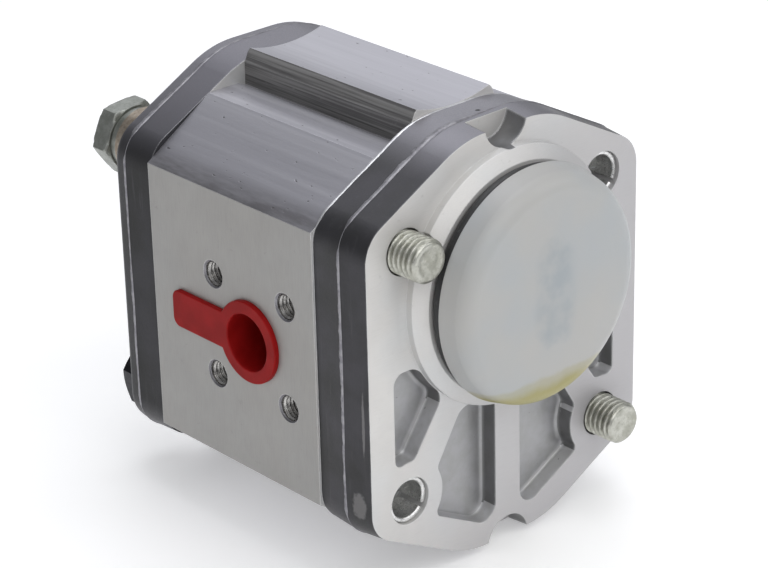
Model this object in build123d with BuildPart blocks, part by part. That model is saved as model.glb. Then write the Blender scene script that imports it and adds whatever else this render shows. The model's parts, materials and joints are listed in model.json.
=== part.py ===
from build123d import *
import os
from math import acos, cos, pi, radians, sin, tan

# External gear pump with a 52 mm pilot, a tongue drive and threaded flange ports.
# Millimetres. +X is to the right seen from the front, +Y runs to the rear, +Z is up.
# The origin is the centre of the pilot, on the shaft's axis, in the front mounting face.

# ---------------------------------------------------------------- driving dimensions
CENTRE_DISTANCE = 31.0          # between the two gear axes
BOLT_SPACING = 60.0             # square pattern of the four long fasteners
MID_Z = -CENTRE_DISTANCE / 2    # centre of the bolt pattern, halfway between the gears
DRIVEN_Z = -CENTRE_DISTANCE

# Stations along the pump, measured back from the mounting face
PILOT_END = -10.4
FRONT_PARTING = 7.8
BODY_FRONT = 16.4
GEAR_FRONT = 31.4
GEAR_REAR = 51.4
BODY_REAR = 72.7
REAR_PARTING = 81.6
COVER_REAR = 86.3
PORT_Y = 38.45

# Cover castings
COVER_HALF_WIDTH = 41.2
COVER_HALF_HEIGHT = 50.3
COVER_SLOPE = 28.0              # degrees, of the long upper and lower corners
SLOPE_START = 35.5              # height at which the slope leaves the vertical side
SIDE_CORNER_R = 9.5
CROWN_CORNER_R = 26.0
FACE_DRAFT = 6.0                # degrees, from the parting line to the outer face
JOINT_DRAFT = 3.0               # degrees, from the parting line to the body
PARTING_GROWTH = 0.85           # the casting is this much larger at its parting line
REAR_EDGE_R = 2.2

# Boss and pilot of the front cover
BOSS_R = 30.1
BOSS_EDGE = -1.85
SHOULDER_R = 27.2
SHOULDER_Y = -4.1
PILOT_R = 26.0
PILOT_GROOVE_R = 24.25
PILOT_GROOVE_END = -6.9

# Pockets and notches of the front face
POCKET_DEPTH = 4.5
POCKET_CORNER_R = 1.8
POCKET_TIP_R = 1.3
POCKET_FOOT_R = 3.8
POCKET_WIDE_R = 4.2
OUTER_WIDE_R = 3.2
OUTER_TOP_R = 5.0
OUTER_SIDE_R = 2.9
POCKET_BOSS_R = 30.2            # inner walls of the pockets, just outside the boss
POCKET_FLOOR_R = 1.1
NOTCH_DEPTH = 6.3
NOTCH_R = 6.3
NOTCH_Z = 51.7

# Body extrusion
BODY_HALF_WIDTH = 42.1
BODY_SIDE = 33.0
SHOULDER_X = 23.6
SHOULDER_Z = 44.9
FOOT_GROOVE = 0.8               # depth of the groove beside the foot of the ridge
RIDGE_FOOT_X = 12.8
FLANK_STEP_Z = 49.6             # small step along the ridge's flank
FLANK_STEP = 0.35
RIDGE_EDGE_X = 11.6
RIDGE_EDGE_Z = 51.8
RIDGE_TOP_X = 10.9
RIDGE_TOP_Z = 52.45
RIDGE_DISH = 1.65               # the top of the ridge is hollow by this much

# Gears, journals and bearings
GEAR_TIP_R = 18.0
GEAR_ROOT_R = 12.4
TEETH = 12
PRESSURE_ANGLE = radians(25.0)
BACKLASH = 0.12
GEAR_BORE_R = GEAR_TIP_R + 0.05
JOURNAL_R = 8.5
JOURNAL_END = 71.0
END_RECESS = 2.0                # in both covers, over the ends of the shafts
RUNNING = 0.04                  # radial clearance of the journals
SIDE_PLAY = 0.03                # between the gears' ends and the bearing blocks
BUSH_R = 10.0
SEAT = 0.02                     # drawn gap between parts that are pressed together

# Seals of the bearing blocks and of the body
BAND_DEPTH = 2.6
BAND_INNER_R = 12.6
BAND_SPLIT_R = 14.2
BAND_OUTER_R = 15.4
BAND_OPEN_X = 6.0               # the 3-shaped band is open on the suction side beyond this
BODY_SEAL_INNER_R = 20.2
BODY_SEAL_OUTER_R = 22.0
BODY_SEAL_DEPTH = 1.6

# Fasteners and dowels
BOLT_R = 5.0                    # M10
BOLT_SHANK_R = 4.8
BOLT_RELIEF_R = 6.2             # cut through the boss beside the fasteners
BOLT_HOLE_R = 5.35
BOLT_END = -7.9
SPACER_R = 8.3
SPACER_REAR = 90.4
LOCK_WASHER_R = 7.6
LOCK_WASHER_SPLIT = 0.7
HEAD_SEAT = 92.5                # under the heads of the mounting bolts
HEAD_FLATS = 16.0
HEAD_CROWN_R = 7.7              # round face left by the chamfer of the heads
BOLT_HEAD_REAR = 98.5
BOLT_HEAD_TURN = 5.8            # degrees
SPOT_FACE_R = 9.6
SPOT_FACE_DEPTH = 0.4
SCREW_R = 4.51                  # M10, drawn at its pitch radius
SCREW_HOLE_R = 5.35
SCREW_END = 9.0
SCREW_HEAD_REAR = 93.0
SCREW_HEAD_TURN = 42.0
SLEEVE_R = 5.55
SLEEVE_BORE_R = 4.4
SLEEVE_FRONT = 0.8
SLEEVE_REAR = 8.0
DOWEL_R = 3.0
DOWEL_REACH = 6.0
DOWELS = [(-33.0, 8.0), (33.0, -8.0)]

# Ports: radius of the drilling, pitch circle of its four M6 threads
PRESSURE_PORT_R = 7.5
PRESSURE_PCD = 35.0
SUCTION_PORT_R = 10.0
SUCTION_PCD = 40.0
PORT_THREAD_R = 3.0
PORT_THREAD_DEPTH = 13.0
PORT_THREAD_MOUTH = 0.4
PLUG_WALL = 0.65
PLUG_DEPTH = 10.0
PLUG_FLANGE = 1.2
PLUG_TAB_WIDTH = 9.1
PLUG_TAB_REACH = 26.35

# Front end of the drive shaft
SEAL_BORE_R = 15.0
SEAL_SEAT_Y = 5.05
SHAFT_PASSAGE_R = 9.2
TANG_WIDTH = 8.0
TANG_ROOT = -3.0
TANG_END = -7.0
RING_FRONT = -2.4
RING_THICKNESS = 1.2
COUPLING_R = 13.5
COUPLING_REAR = -3.4
COUPLING_FRONT = -8.9
TONGUE_END = -12.9
TONGUE_LENGTH = 22.0

# Transport cap over the pilot
CAP_RIM_Y = -7.2
CAP_RIM_R = 27.6
CAP_BORE_R = 26.15
CAP_TOP_Y = -15.2

half = BOLT_SPACING / 2
mounting_corners = [(-half, half), (half, -half)]
assembly_corners = [(half, half), (-half, -half)]
all_corners = mounting_corners + assembly_corners
shaft_places = [(0, CENTRE_DISTANCE / 2), (0, -CENTRE_DISTANCE / 2)]
drive_axis = Axis.Y
driven_axis = Axis((0, 0, DRIVEN_Z), (0, 1, 0))


# ---------------------------------------------------------------- planes and outlines
def across(y, z=MID_Z):
    """Plane square to the shafts at station y: local x is X, local y is Z, facing the front."""
    return Plane(origin=(0, y, z), x_dir=(1, 0, 0), z_dir=(0, -1, 0))


def beside(x):
    """Plane square to X through the ports' centre: local x is Y, local y is Z."""
    return Plane(origin=(x, PORT_Y, MID_Z), x_dir=(0, 1, 0), z_dir=(1, 0, 0))


def circles(plane, places, radius):
    """Equal circles on one plane."""
    with BuildSketch(plane) as sketch:
        with Locations(*places):
            Circle(radius)
    return sketch.sketch


def rings(plane, places, outer, inner):
    """Equal rings on one plane; rings that overlap keep both of their holes."""
    with BuildSketch(plane) as sketch:
        with Locations(*places):
            Circle(outer)
        with Locations(*places):
            Circle(inner, mode=Mode.SUBTRACT)
    return sketch.sketch


def cover_outline(y, growth):
    """Eight-sided outline of the covers with rounded corners, made larger by growth."""
    side = COVER_HALF_WIDTH + growth
    top = COVER_HALF_HEIGHT + growth
    crown = side - (top - SLOPE_START) / tan(radians(COVER_SLOPE))
    with BuildSketch(across(y)) as outline:
        Polygon(
            (side, SLOPE_START), (crown, top), (-crown, top), (-side, SLOPE_START),
            (-side, -SLOPE_START), (-crown, -top), (crown, -top), (side, -SLOPE_START),
            align=None,
        )
        crowns = outline.vertices().filter_by(lambda corner: abs(corner.Y) > SLOPE_START + 1)
        fillet(crowns, CROWN_CORNER_R)
        sides = outline.vertices().filter_by(lambda corner: abs(corner.Y) < SLOPE_START + 0.1)
        fillet(sides, SIDE_CORNER_R)
    return outline.sketch


def body_outline(y):
    """Extruded outline of the body: port faces, slopes, shoulders and a hollow-topped ridge."""
    upper_right = [
        (BODY_HALF_WIDTH, BODY_SIDE), (SHOULDER_X, SHOULDER_Z),
        (RIDGE_FOOT_X + 2.0, SHOULDER_Z), (RIDGE_FOOT_X + 1.4, SHOULDER_Z - FOOT_GROOVE),
        (RIDGE_FOOT_X, SHOULDER_Z - FOOT_GROOVE), (RIDGE_FOOT_X - 0.1, FLANK_STEP_Z - 0.9),
        (RIDGE_FOOT_X, FLANK_STEP_Z), (RIDGE_FOOT_X - FLANK_STEP, FLANK_STEP_Z + FLANK_STEP),
        (RIDGE_EDGE_X, RIDGE_EDGE_Z), (RIDGE_TOP_X, RIDGE_TOP_Z),
    ]
    right = [(x, -z) for x, z in reversed(upper_right)] + upper_right
    left = [(-x, -z) for x, z in right]
    with BuildSketch(across(y)) as outline:
        with BuildLine():
            Polyline(*right)
            ThreePointArc(right[-1], (0, RIDGE_TOP_Z - RIDGE_DISH), left[0])
            Polyline(*left)
            ThreePointArc(left[-1], (0, RIDGE_DISH - RIDGE_TOP_Z), right[0])
        make_face()
    return outline.sketch


def save(piece, name):
    """Labels a finished piece and writes it under its own name."""
    piece.part.label = name
    export_step(piece.part, "parts/" + name + ".step")


os.makedirs("parts", exist_ok=True)


# ---------------------------------------------------------------- front cover
def round_corner(sketch, near, radius):
    """Rounds the corner of a sketch that is nearest to a place on its plane."""
    fillet(sketch.vertices().sort_by_distance((*near, 0))[0], radius)


def centre_pocket(side):
    """Pocket beside the middle rib of the front face; side is 1 or -1."""
    with BuildSketch(across(0)) as pocket:
        Polygon(
            (side * 3.8, -8), (side * 11.6, -8), (side * 24.1, -28.7),
            (side * 21.6, -37.1), (side * 3.8, -46.7), align=None,
        )
        with Locations(shaft_places[0]):
            Circle(POCKET_BOSS_R, mode=Mode.SUBTRACT)
        with Locations((side * half, -half)):
            Circle(9.7, mode=Mode.SUBTRACT)
        round_corner(pocket, (side * 13.7, -11.4), POCKET_WIDE_R)
        round_corner(pocket, (side * 3.8, -46.7), POCKET_FOOT_R)
        round_corner(pocket, (side * 3.8, -14.5), POCKET_CORNER_R)
        round_corner(pocket, (side * 21.8, -24.8), POCKET_CORNER_R)
        round_corner(pocket, (side * 22.1, -35.6), POCKET_TIP_R)
        round_corner(pocket, (side * 21.6, -37.1), POCKET_TIP_R)
    return pocket.sketch


def outer_pocket(side):
    """Pocket between the sloping rib and the side of the front face."""
    with BuildSketch(across(0)) as pocket:
        Polygon(
            (side * 13.0, 2.0), (side * 34.1, 2.0), (side * 34.1, -24), (side * 30.9, -24),
            align=None,
        )
        with Locations(shaft_places[0]):
            Circle(POCKET_BOSS_R, mode=Mode.SUBTRACT)
        with Locations((side * half, -half)):
            Circle(9.6, mode=Mode.SUBTRACT)
        round_corner(pocket, (side * 27.0, 2.0), OUTER_TOP_R)
        round_corner(pocket, (side * 34.1, 2.0), OUTER_SIDE_R)
        round_corner(pocket, (side * 19.6, -7.5), OUTER_WIDE_R)
        round_corner(pocket, (side * 34.1, -20.9), POCKET_CORNER_R)
        round_corner(pocket, (side * 28.6, -20.5), POCKET_CORNER_R)
    return pocket.sketch


def boss_profile():
    """Half section of the boss and pilot, from the shaft's axis outwards."""
    with BuildSketch(Plane.XY) as profile:
        Polygon(
            (0, 1), (BOSS_R, 1), (BOSS_R, BOSS_EDGE), (SHOULDER_R, SHOULDER_Y),
            (PILOT_GROOVE_R, SHOULDER_Y), (PILOT_GROOVE_R, PILOT_GROOVE_END),
            (PILOT_R, PILOT_GROOVE_END), (PILOT_R, PILOT_END + 0.8), (PILOT_R - 0.8, PILOT_END),
            (0, PILOT_END), align=None,
        )
    return profile.sketch


with BuildPart() as front_cover:
    extrude(cover_outline(FRONT_PARTING, PARTING_GROWTH), amount=FRONT_PARTING, taper=FACE_DRAFT)
    extrude(
        cover_outline(FRONT_PARTING, PARTING_GROWTH),
        amount=FRONT_PARTING - BODY_FRONT, taper=JOINT_DRAFT,
    )
    for side in (-1, 1):
        extrude(centre_pocket(side), amount=-POCKET_DEPTH, mode=Mode.SUBTRACT)
        extrude(outer_pocket(side), amount=-POCKET_DEPTH, mode=Mode.SUBTRACT)
    floors = front_cover.faces().filter_by_position(Axis.Y, POCKET_DEPTH - 0.01, POCKET_DEPTH + 0.01)
    fillet(floors.edges(), POCKET_FLOOR_R)
    revolve(boss_profile(), axis=drive_axis)
    notches = circles(across(PILOT_END), [(0, NOTCH_Z), (0, -NOTCH_Z)], NOTCH_R)
    extrude(notches, amount=PILOT_END - NOTCH_DEPTH, mode=Mode.SUBTRACT)
    # reliefs beside the fasteners, seal bore and its ring groove, passage for the shaft
    extrude(circles(across(0), all_corners, BOLT_RELIEF_R), amount=-PILOT_END, mode=Mode.SUBTRACT)
    extrude(
        circles(across(PILOT_END, 0), [(0, 0)], SEAL_BORE_R),
        amount=PILOT_END - SEAL_SEAT_Y, mode=Mode.SUBTRACT,
    )
    extrude(
        circles(across(RING_FRONT - 0.05, 0), [(0, 0)], SEAL_BORE_R + 0.7),
        amount=-RING_THICKNESS - 0.1, mode=Mode.SUBTRACT,
    )
    extrude(
        circles(across(0, 0), [(0, 0)], SHAFT_PASSAGE_R), amount=-BODY_FRONT, mode=Mode.SUBTRACT
    )
    # recess over the end of the driven shaft
    extrude(
        circles(across(BODY_FRONT), [shaft_places[1]], SHAFT_PASSAGE_R),
        amount=END_RECESS, mode=Mode.SUBTRACT,
    )
    extrude(
        circles(across(BOSS_EDGE), mounting_corners, BOLT_HOLE_R),
        amount=BOSS_EDGE - BODY_FRONT, mode=Mode.SUBTRACT,
    )
    extrude(
        circles(across(0), assembly_corners, SLEEVE_R + 0.03),
        amount=-SLEEVE_REAR - 0.2, mode=Mode.SUBTRACT,
    )
    threads = circles(across(0), assembly_corners, SCREW_R + SEAT)
    extrude(threads, amount=-BODY_FRONT, mode=Mode.SUBTRACT)
    dowel_holes = circles(across(BODY_FRONT), DOWELS, DOWEL_R + SEAT)
    extrude(dowel_holes, amount=DOWEL_REACH, mode=Mode.SUBTRACT)
save(front_cover, "front_cover")


# ---------------------------------------------------------------- body
def port_corners(pitch_circle):
    """Centres of a port's four threads, on the diagonals."""
    reach = pitch_circle / 2 * cos(pi / 4)
    return [(a * reach, b * reach) for a in (-1, 1) for b in (-1, 1)]


def cut_port(side, radius, pitch_circle):
    """Drills one port into the gear chamber and its four blind thread holes."""
    face = beside(side * BODY_HALF_WIDTH)
    corners = port_corners(pitch_circle)
    extrude(circles(face, [(0, 0)], radius), amount=-side * 34.0, mode=Mode.SUBTRACT)
    extrude(
        circles(face, corners, PORT_THREAD_R), amount=-side * PORT_THREAD_DEPTH, mode=Mode.SUBTRACT
    )
    mouth = circles(face, corners, PORT_THREAD_R + PORT_THREAD_MOUTH)
    extrude(mouth, amount=-side * PORT_THREAD_MOUTH, taper=45 * 0.999, mode=Mode.SUBTRACT)


with BuildPart() as pump_body:
    extrude(body_outline(BODY_FRONT), amount=BODY_FRONT - BODY_REAR)
    extrude(
        circles(across(BODY_FRONT), shaft_places, GEAR_BORE_R),
        amount=BODY_FRONT - BODY_REAR, mode=Mode.SUBTRACT,
    )
    extrude(
        circles(across(BODY_FRONT), mounting_corners, BOLT_HOLE_R),
        amount=BODY_FRONT - BODY_REAR, mode=Mode.SUBTRACT,
    )
    extrude(
        circles(across(BODY_FRONT), assembly_corners, SCREW_HOLE_R),
        amount=BODY_FRONT - BODY_REAR, mode=Mode.SUBTRACT,
    )
    for station, inward in ((BODY_FRONT, -1), (BODY_REAR, 1)):
        groove = rings(across(station), shaft_places, BODY_SEAL_OUTER_R, BODY_SEAL_INNER_R)
        extrude(groove, amount=inward * BODY_SEAL_DEPTH, mode=Mode.SUBTRACT)
        holes = circles(across(station), DOWELS, DOWEL_R + SEAT)
        extrude(holes, amount=inward * DOWEL_REACH, mode=Mode.SUBTRACT)
    cut_port(-1, PRESSURE_PORT_R, PRESSURE_PCD)
    cut_port(1, SUCTION_PORT_R, SUCTION_PCD)
save(pump_body, "pump_body")


# ---------------------------------------------------------------- rear cover
with BuildPart() as rear_cover:
    extrude(
        cover_outline(REAR_PARTING, PARTING_GROWTH),
        amount=REAR_PARTING - BODY_REAR, taper=JOINT_DRAFT,
    )
    extrude(
        cover_outline(REAR_PARTING, PARTING_GROWTH),
        amount=REAR_PARTING - COVER_REAR, taper=FACE_DRAFT,
    )
    fillet(rear_cover.faces().sort_by(Axis.Y)[-1].edges(), REAR_EDGE_R)
    extrude(
        circles(across(COVER_REAR), all_corners, SPOT_FACE_R),
        amount=SPOT_FACE_DEPTH, mode=Mode.SUBTRACT,
    )
    extrude(
        circles(across(BODY_REAR), mounting_corners, BOLT_HOLE_R),
        amount=BODY_REAR - COVER_REAR, mode=Mode.SUBTRACT,
    )
    extrude(
        circles(across(BODY_REAR), assembly_corners, SCREW_HOLE_R),
        amount=BODY_REAR - COVER_REAR, mode=Mode.SUBTRACT,
    )
    shaft_recesses = circles(across(BODY_REAR), shaft_places, SHAFT_PASSAGE_R)
    extrude(shaft_recesses, amount=-END_RECESS, mode=Mode.SUBTRACT)
    dowel_holes = circles(across(BODY_REAR), DOWELS, DOWEL_R + SEAT)
    extrude(dowel_holes, amount=-DOWEL_REACH, mode=Mode.SUBTRACT)
save(rear_cover, "rear_cover")


# ---------------------------------------------------------------- bearing blocks and bushes
def seal_band(y, outer, inner, leg):
    """Band open on the suction side, a part-ring round each journal; a leg joins the two rings."""
    with BuildSketch(across(y)) as band:
        with Locations(*shaft_places):
            Circle(outer)
        with Locations(*shaft_places):
            Circle(inner, mode=Mode.SUBTRACT)
        if leg:
            Rectangle(leg, 4.4)
        else:
            with Locations((BAND_OPEN_X, 0)):
                Rectangle(2 * BAND_OPEN_X + 4, 6.4, mode=Mode.SUBTRACT)
        with Locations((BAND_OPEN_X + 20, 0)):
            Rectangle(40, 100, mode=Mode.SUBTRACT)
    return band.sketch


def bearing_block(outer_face, inner_face, name):
    """Block that carries both journals on one side of the gears."""
    length = inner_face - outer_face
    inward = 1 if length > 0 else -1
    with BuildPart() as block:
        extrude(circles(across(outer_face), shaft_places, GEAR_TIP_R - 0.03), amount=-length)
        extrude(
            circles(across(outer_face), shaft_places, BUSH_R + SEAT), amount=-length, mode=Mode.SUBTRACT
        )
        extrude(
            seal_band(outer_face, BAND_OUTER_R, BAND_INNER_R, 5.0),
            amount=-inward * BAND_DEPTH, mode=Mode.SUBTRACT,
        )
        # relief pockets for the oil trapped where the teeth mesh
        with BuildSketch(across(inner_face)) as reliefs:
            with Locations((-5.2, 0), (5.2, 0)):
                Rectangle(4.6, 5.0)
        extrude(reliefs.sketch, amount=inward * 1.4, mode=Mode.SUBTRACT)
    save(block, name)


FRONT_INNER = GEAR_FRONT - SIDE_PLAY
REAR_INNER = GEAR_REAR + SIDE_PLAY
bearing_block(BODY_FRONT + SEAT, FRONT_INNER, "front_bearing_block")
bearing_block(BODY_REAR - SEAT, REAR_INNER, "rear_bearing_block")

bush_spans = [
    ("front", BODY_FRONT + 0.6, FRONT_INNER - 0.3),
    ("rear", REAR_INNER + 0.3, JOURNAL_END),
]
for end, start, finish in bush_spans:
    for shaft, place in zip(("drive", "driven"), shaft_places):
        with BuildPart() as bush:
            extrude(
                rings(across(start), [place], BUSH_R, JOURNAL_R + RUNNING), amount=start - finish
            )
        save(bush, f"{shaft}_{end}_bush")

for end, face, inward in (("front", BODY_FRONT, -1), ("rear", BODY_REAR, 1)):
    outer_face = face - inward * SEAT
    with BuildPart() as axial_seal:
        extrude(
            seal_band(outer_face, BAND_SPLIT_R, BAND_INNER_R + 0.04, 2.4),
            amount=inward * (BAND_DEPTH - 0.06),
        )
    save(axial_seal, f"{end}_axial_seal")
    with BuildPart() as backup_strips:
        extrude(
            seal_band(outer_face, BAND_OUTER_R - 0.04, BAND_SPLIT_R + 0.04, 0),
            amount=inward * (BAND_DEPTH - 0.06),
        )
    save(backup_strips, f"{end}_backup_strips")
    with BuildPart() as body_seal:
        seal_rings = rings(
            across(outer_face), shaft_places, BODY_SEAL_OUTER_R - 0.04, BODY_SEAL_INNER_R + 0.04
        )
        extrude(seal_rings, amount=inward * (BODY_SEAL_DEPTH - 0.06))
    save(body_seal, f"{end}_body_seal")
    with BuildPart() as dowels:
        extrude(
            circles(across(face + inward * (DOWEL_REACH - 0.2)), DOWELS, DOWEL_R),
            amount=inward * 2 * (DOWEL_REACH - 0.2),
        )
        chamfer(dowels.edges().filter_by(GeomType.CIRCLE), 0.4)
    save(dowels, f"{end}_dowels")


# ---------------------------------------------------------------- gears and shafts
def gear_tooth():
    """One involute tooth on the local +Y axis, from inside the root circle to the tip."""
    pitch_r = CENTRE_DISTANCE / 2
    base_r = pitch_r * cos(PRESSURE_ANGLE)
    half_angle_at_base = (
        pi / (2 * TEETH) - BACKLASH / (4 * pitch_r) + tan(PRESSURE_ANGLE) - PRESSURE_ANGLE
    )

    def flank(r, side):
        roll = acos(base_r / r)
        angle = side * (half_angle_at_base - (tan(roll) - roll))
        return (r * sin(angle), r * cos(angle))

    radii = [base_r + (GEAR_TIP_R - base_r) * step / 5 for step in range(6)]
    left = [flank(r, -1) for r in radii]
    right = [flank(r, 1) for r in radii]
    inside = GEAR_ROOT_R - 0.5
    foot_x = inside * sin(half_angle_at_base)
    foot_y = inside * cos(half_angle_at_base)
    with BuildSketch() as tooth:
        with BuildLine():
            Spline(*left)
            ThreePointArc(left[-1], (0, GEAR_TIP_R), right[-1])
            Spline(*right)
            Polyline(left[0], (-foot_x, foot_y), (foot_x, foot_y), right[0])
        make_face()
    return tooth.sketch


def gear_section(y, z, first_tooth):
    """Whole gear outline; first_tooth is the angle of one tooth from local +Y."""
    tooth = gear_tooth()
    with BuildSketch(across(y, z)) as gear:
        Circle(GEAR_ROOT_R)
        with PolarLocations(0, TEETH, start_angle=first_tooth):
            add(tooth)
    return gear.sketch


def journal_profile(y_start, z):
    """Half section of a shaft from y_start to its rear end, with chamfered ends."""
    with BuildSketch(Plane.XY.offset(z)) as profile:
        Polygon(
            (0, y_start), (JOURNAL_R - 0.6, y_start), (JOURNAL_R, y_start + 0.6),
            (JOURNAL_R, JOURNAL_END - 0.6), (JOURNAL_R - 0.6, JOURNAL_END), (0, JOURNAL_END),
            align=None,
        )
    return profile.sketch


with BuildPart() as drive_gear_shaft:
    revolve(journal_profile(TANG_END, 0), axis=drive_axis)
    extrude(gear_section(GEAR_FRONT, 0, 0), amount=GEAR_FRONT - GEAR_REAR)
    with BuildSketch(across(TANG_END, 0)) as flats:
        with Locations((0, TANG_WIDTH / 2 + 5), (0, -TANG_WIDTH / 2 - 5)):
            Rectangle(20, 10)
    extrude(flats.sketch, amount=TANG_END - TANG_ROOT, mode=Mode.SUBTRACT)
save(drive_gear_shaft, "drive_gear_shaft")

with BuildPart() as driven_gear_shaft:
    revolve(journal_profile(BODY_FRONT + 0.8, DRIVEN_Z), axis=driven_axis)
    extrude(gear_section(GEAR_FRONT, DRIVEN_Z, 180 / TEETH), amount=GEAR_FRONT - GEAR_REAR)
save(driven_gear_shaft, "driven_gear_shaft")

with BuildPart() as drive_coupling:
    extrude(
        circles(across(COUPLING_REAR, 0), [(0, 0)], COUPLING_R), amount=COUPLING_REAR - COUPLING_FRONT
    )
    chamfer(drive_coupling.edges().filter_by(GeomType.CIRCLE), 0.6)
    with BuildSketch(across(COUPLING_REAR, 0)) as slot:
        Rectangle(2 * COUPLING_R, TANG_WIDTH + 0.1)
    extrude(slot.sketch, amount=COUPLING_REAR - TANG_END + 0.4, mode=Mode.SUBTRACT)
    with BuildSketch(across(COUPLING_FRONT + 0.2, 0)) as tongue:
        Rectangle(TANG_WIDTH, TONGUE_LENGTH)
        fillet(tongue.vertices(), 1.2)
    extrude(tongue.sketch, amount=COUPLING_FRONT + 0.2 - TONGUE_END)
    chamfer(drive_coupling.faces().sort_by(Axis.Y)[0].edges(), 0.5)
save(drive_coupling, "drive_coupling")


# ---------------------------------------------------------------- shaft seal and pilot ring
with BuildPart() as shaft_seal:
    with BuildSketch(Plane.XY) as section:
        Polygon(
            (14.98, -1.0), (14.98, 5.0), (13.4, 5.0), (13.4, 0.6), (10.6, 0.6), (9.7, 2.6),
            (9.7, 4.0), (9.9, 4.4), (9.3, 4.4), (JOURNAL_R + RUNNING, 3.3), (9.2, 1.6), (9.2, -1.0),
            align=None,
        )
    revolve(axis=drive_axis)
save(shaft_seal, "shaft_seal")

with BuildPart() as seal_spring:
    with BuildSketch(Plane.XY) as section:
        with Locations((10.42, 3.3)):
            Circle(0.62)
    revolve(axis=drive_axis)
save(seal_spring, "seal_spring")

with BuildPart() as seal_retaining_ring:
    with BuildSketch(across(RING_FRONT, 0)) as ring:
        Circle(SEAL_BORE_R + 0.6)
        Circle(SEAL_BORE_R - 1.5, mode=Mode.SUBTRACT)
        Polygon((0, 0), (9, -24), (-9, -24), align=None, mode=Mode.SUBTRACT)
        with PolarLocations(12.9, 2, start_angle=-90 - 27, angular_range=54, endpoint=True):
            Circle(1.9)
            Circle(0.8, mode=Mode.SUBTRACT)
    extrude(ring.sketch, amount=-RING_THICKNESS)
save(seal_retaining_ring, "seal_retaining_ring")

with BuildPart() as pilot_seal_ring:
    with BuildSketch(Plane.XY) as section:
        with Locations((25.6, (SHOULDER_Y + PILOT_GROOVE_END) / 2)):
            Circle(1.3)
    revolve(axis=drive_axis)
save(pilot_seal_ring, "pilot_seal_ring")


# ---------------------------------------------------------------- fasteners
def heads(places, front, rear, turn):
    """Hexagon heads between two stations, with the corners of their rear faces turned off."""
    height = rear - front
    with BuildPart() as head:
        with BuildSketch(across(front)) as hexagons:
            with Locations(*places):
                RegularPolygon(HEAD_FLATS / 2, 6, major_radius=False, rotation=turn)
        extrude(hexagons.sketch, amount=-height)
        with BuildSketch(across(rear)) as crowns:
            with Locations(*places):
                Circle(HEAD_CROWN_R)
        extrude(crowns.sketch, amount=height, taper=-60, mode=Mode.INTERSECT)
    return head.part


with BuildPart() as mounting_bolts:
    add(heads(mounting_corners, HEAD_SEAT, BOLT_HEAD_REAR, BOLT_HEAD_TURN))
    extrude(circles(across(0), mounting_corners, BOLT_SHANK_R), amount=-HEAD_SEAT)
    extrude(circles(across(BOLT_END), mounting_corners, BOLT_R), amount=BOLT_END)
    chamfer(mounting_bolts.faces().group_by(Axis.Y)[0].edges(), 0.9)
save(mounting_bolts, "mounting_bolts")

cover_seat = COVER_REAR - SPOT_FACE_DEPTH
with BuildPart() as mounting_spacers:
    extrude(
        rings(across(cover_seat), mounting_corners, SPACER_R, BOLT_R + 0.3),
        amount=cover_seat - SPACER_REAR,
    )
    chamfer(mounting_spacers.edges().filter_by(GeomType.CIRCLE), 0.25)
save(mounting_spacers, "mounting_spacers")

with BuildPart() as lock_washers:
    extrude(
        rings(across(SPACER_REAR), mounting_corners, LOCK_WASHER_R, BOLT_R + 0.2),
        amount=SPACER_REAR - HEAD_SEAT,
    )
    with BuildSketch(across(SPACER_REAR)) as splits:
        with Locations(*mounting_corners):
            with PolarLocations(LOCK_WASHER_R - 1.5, 1, start_angle=20):
                Rectangle(6, LOCK_WASHER_SPLIT, rotation=25)
    extrude(splits.sketch, amount=SPACER_REAR - HEAD_SEAT, mode=Mode.SUBTRACT)
save(lock_washers, "lock_washers")

with BuildPart() as assembly_screws:
    extrude(circles(across(SCREW_END), assembly_corners, SCREW_R), amount=SCREW_END - cover_seat)
    chamfer(assembly_screws.faces().group_by(Axis.Y)[0].edges(), 0.8)
    add(heads(assembly_corners, cover_seat, SCREW_HEAD_REAR, SCREW_HEAD_TURN))
save(assembly_screws, "assembly_screws")

with BuildPart() as locating_sleeves:
    extrude(
        rings(across(SLEEVE_FRONT), assembly_corners, SLEEVE_R, SLEEVE_BORE_R),
        amount=SLEEVE_FRONT - SLEEVE_REAR,
    )
    chamfer(locating_sleeves.faces().group_by(Axis.Y)[0].edges(), 0.3)
    with BuildSketch(across(SLEEVE_FRONT)) as slits:
        with Locations(*assembly_corners):
            with PolarLocations(5, 1, start_angle=-35):
                Rectangle(4, 1.0)
    extrude(slits.sketch, amount=SLEEVE_FRONT - SLEEVE_REAR, mode=Mode.SUBTRACT)
save(locating_sleeves, "locating_sleeves")


# ---------------------------------------------------------------- transport cap and port plugs
with BuildPart() as pilot_cap:
    with BuildSketch(Plane.XY) as section:
        with BuildLine():
            Line((0, CAP_TOP_Y), (8, CAP_TOP_Y))
            ThreePointArc((8, CAP_TOP_Y), (15.6, -15.02), (22.4, -14.7))
            ThreePointArc((22.4, -14.7), (25.4, -13.6), (26.7, -11.6))
            Polyline(
                (26.7, -11.6), (CAP_RIM_R, CAP_RIM_Y - 0.3), (CAP_RIM_R - 0.3, CAP_RIM_Y),
                (CAP_BORE_R, CAP_RIM_Y), (CAP_BORE_R, PILOT_END - 0.2), (25.3, -11.6),
            )
            ThreePointArc((25.3, -11.6), (24.3, -12.9), (22.2, -13.5))
            Polyline((22.2, -13.5), (8, -13.8), (0, -13.8), (0, CAP_TOP_Y))
        make_face()
    revolve(axis=drive_axis)
save(pilot_cap, "pilot_cap")


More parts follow.
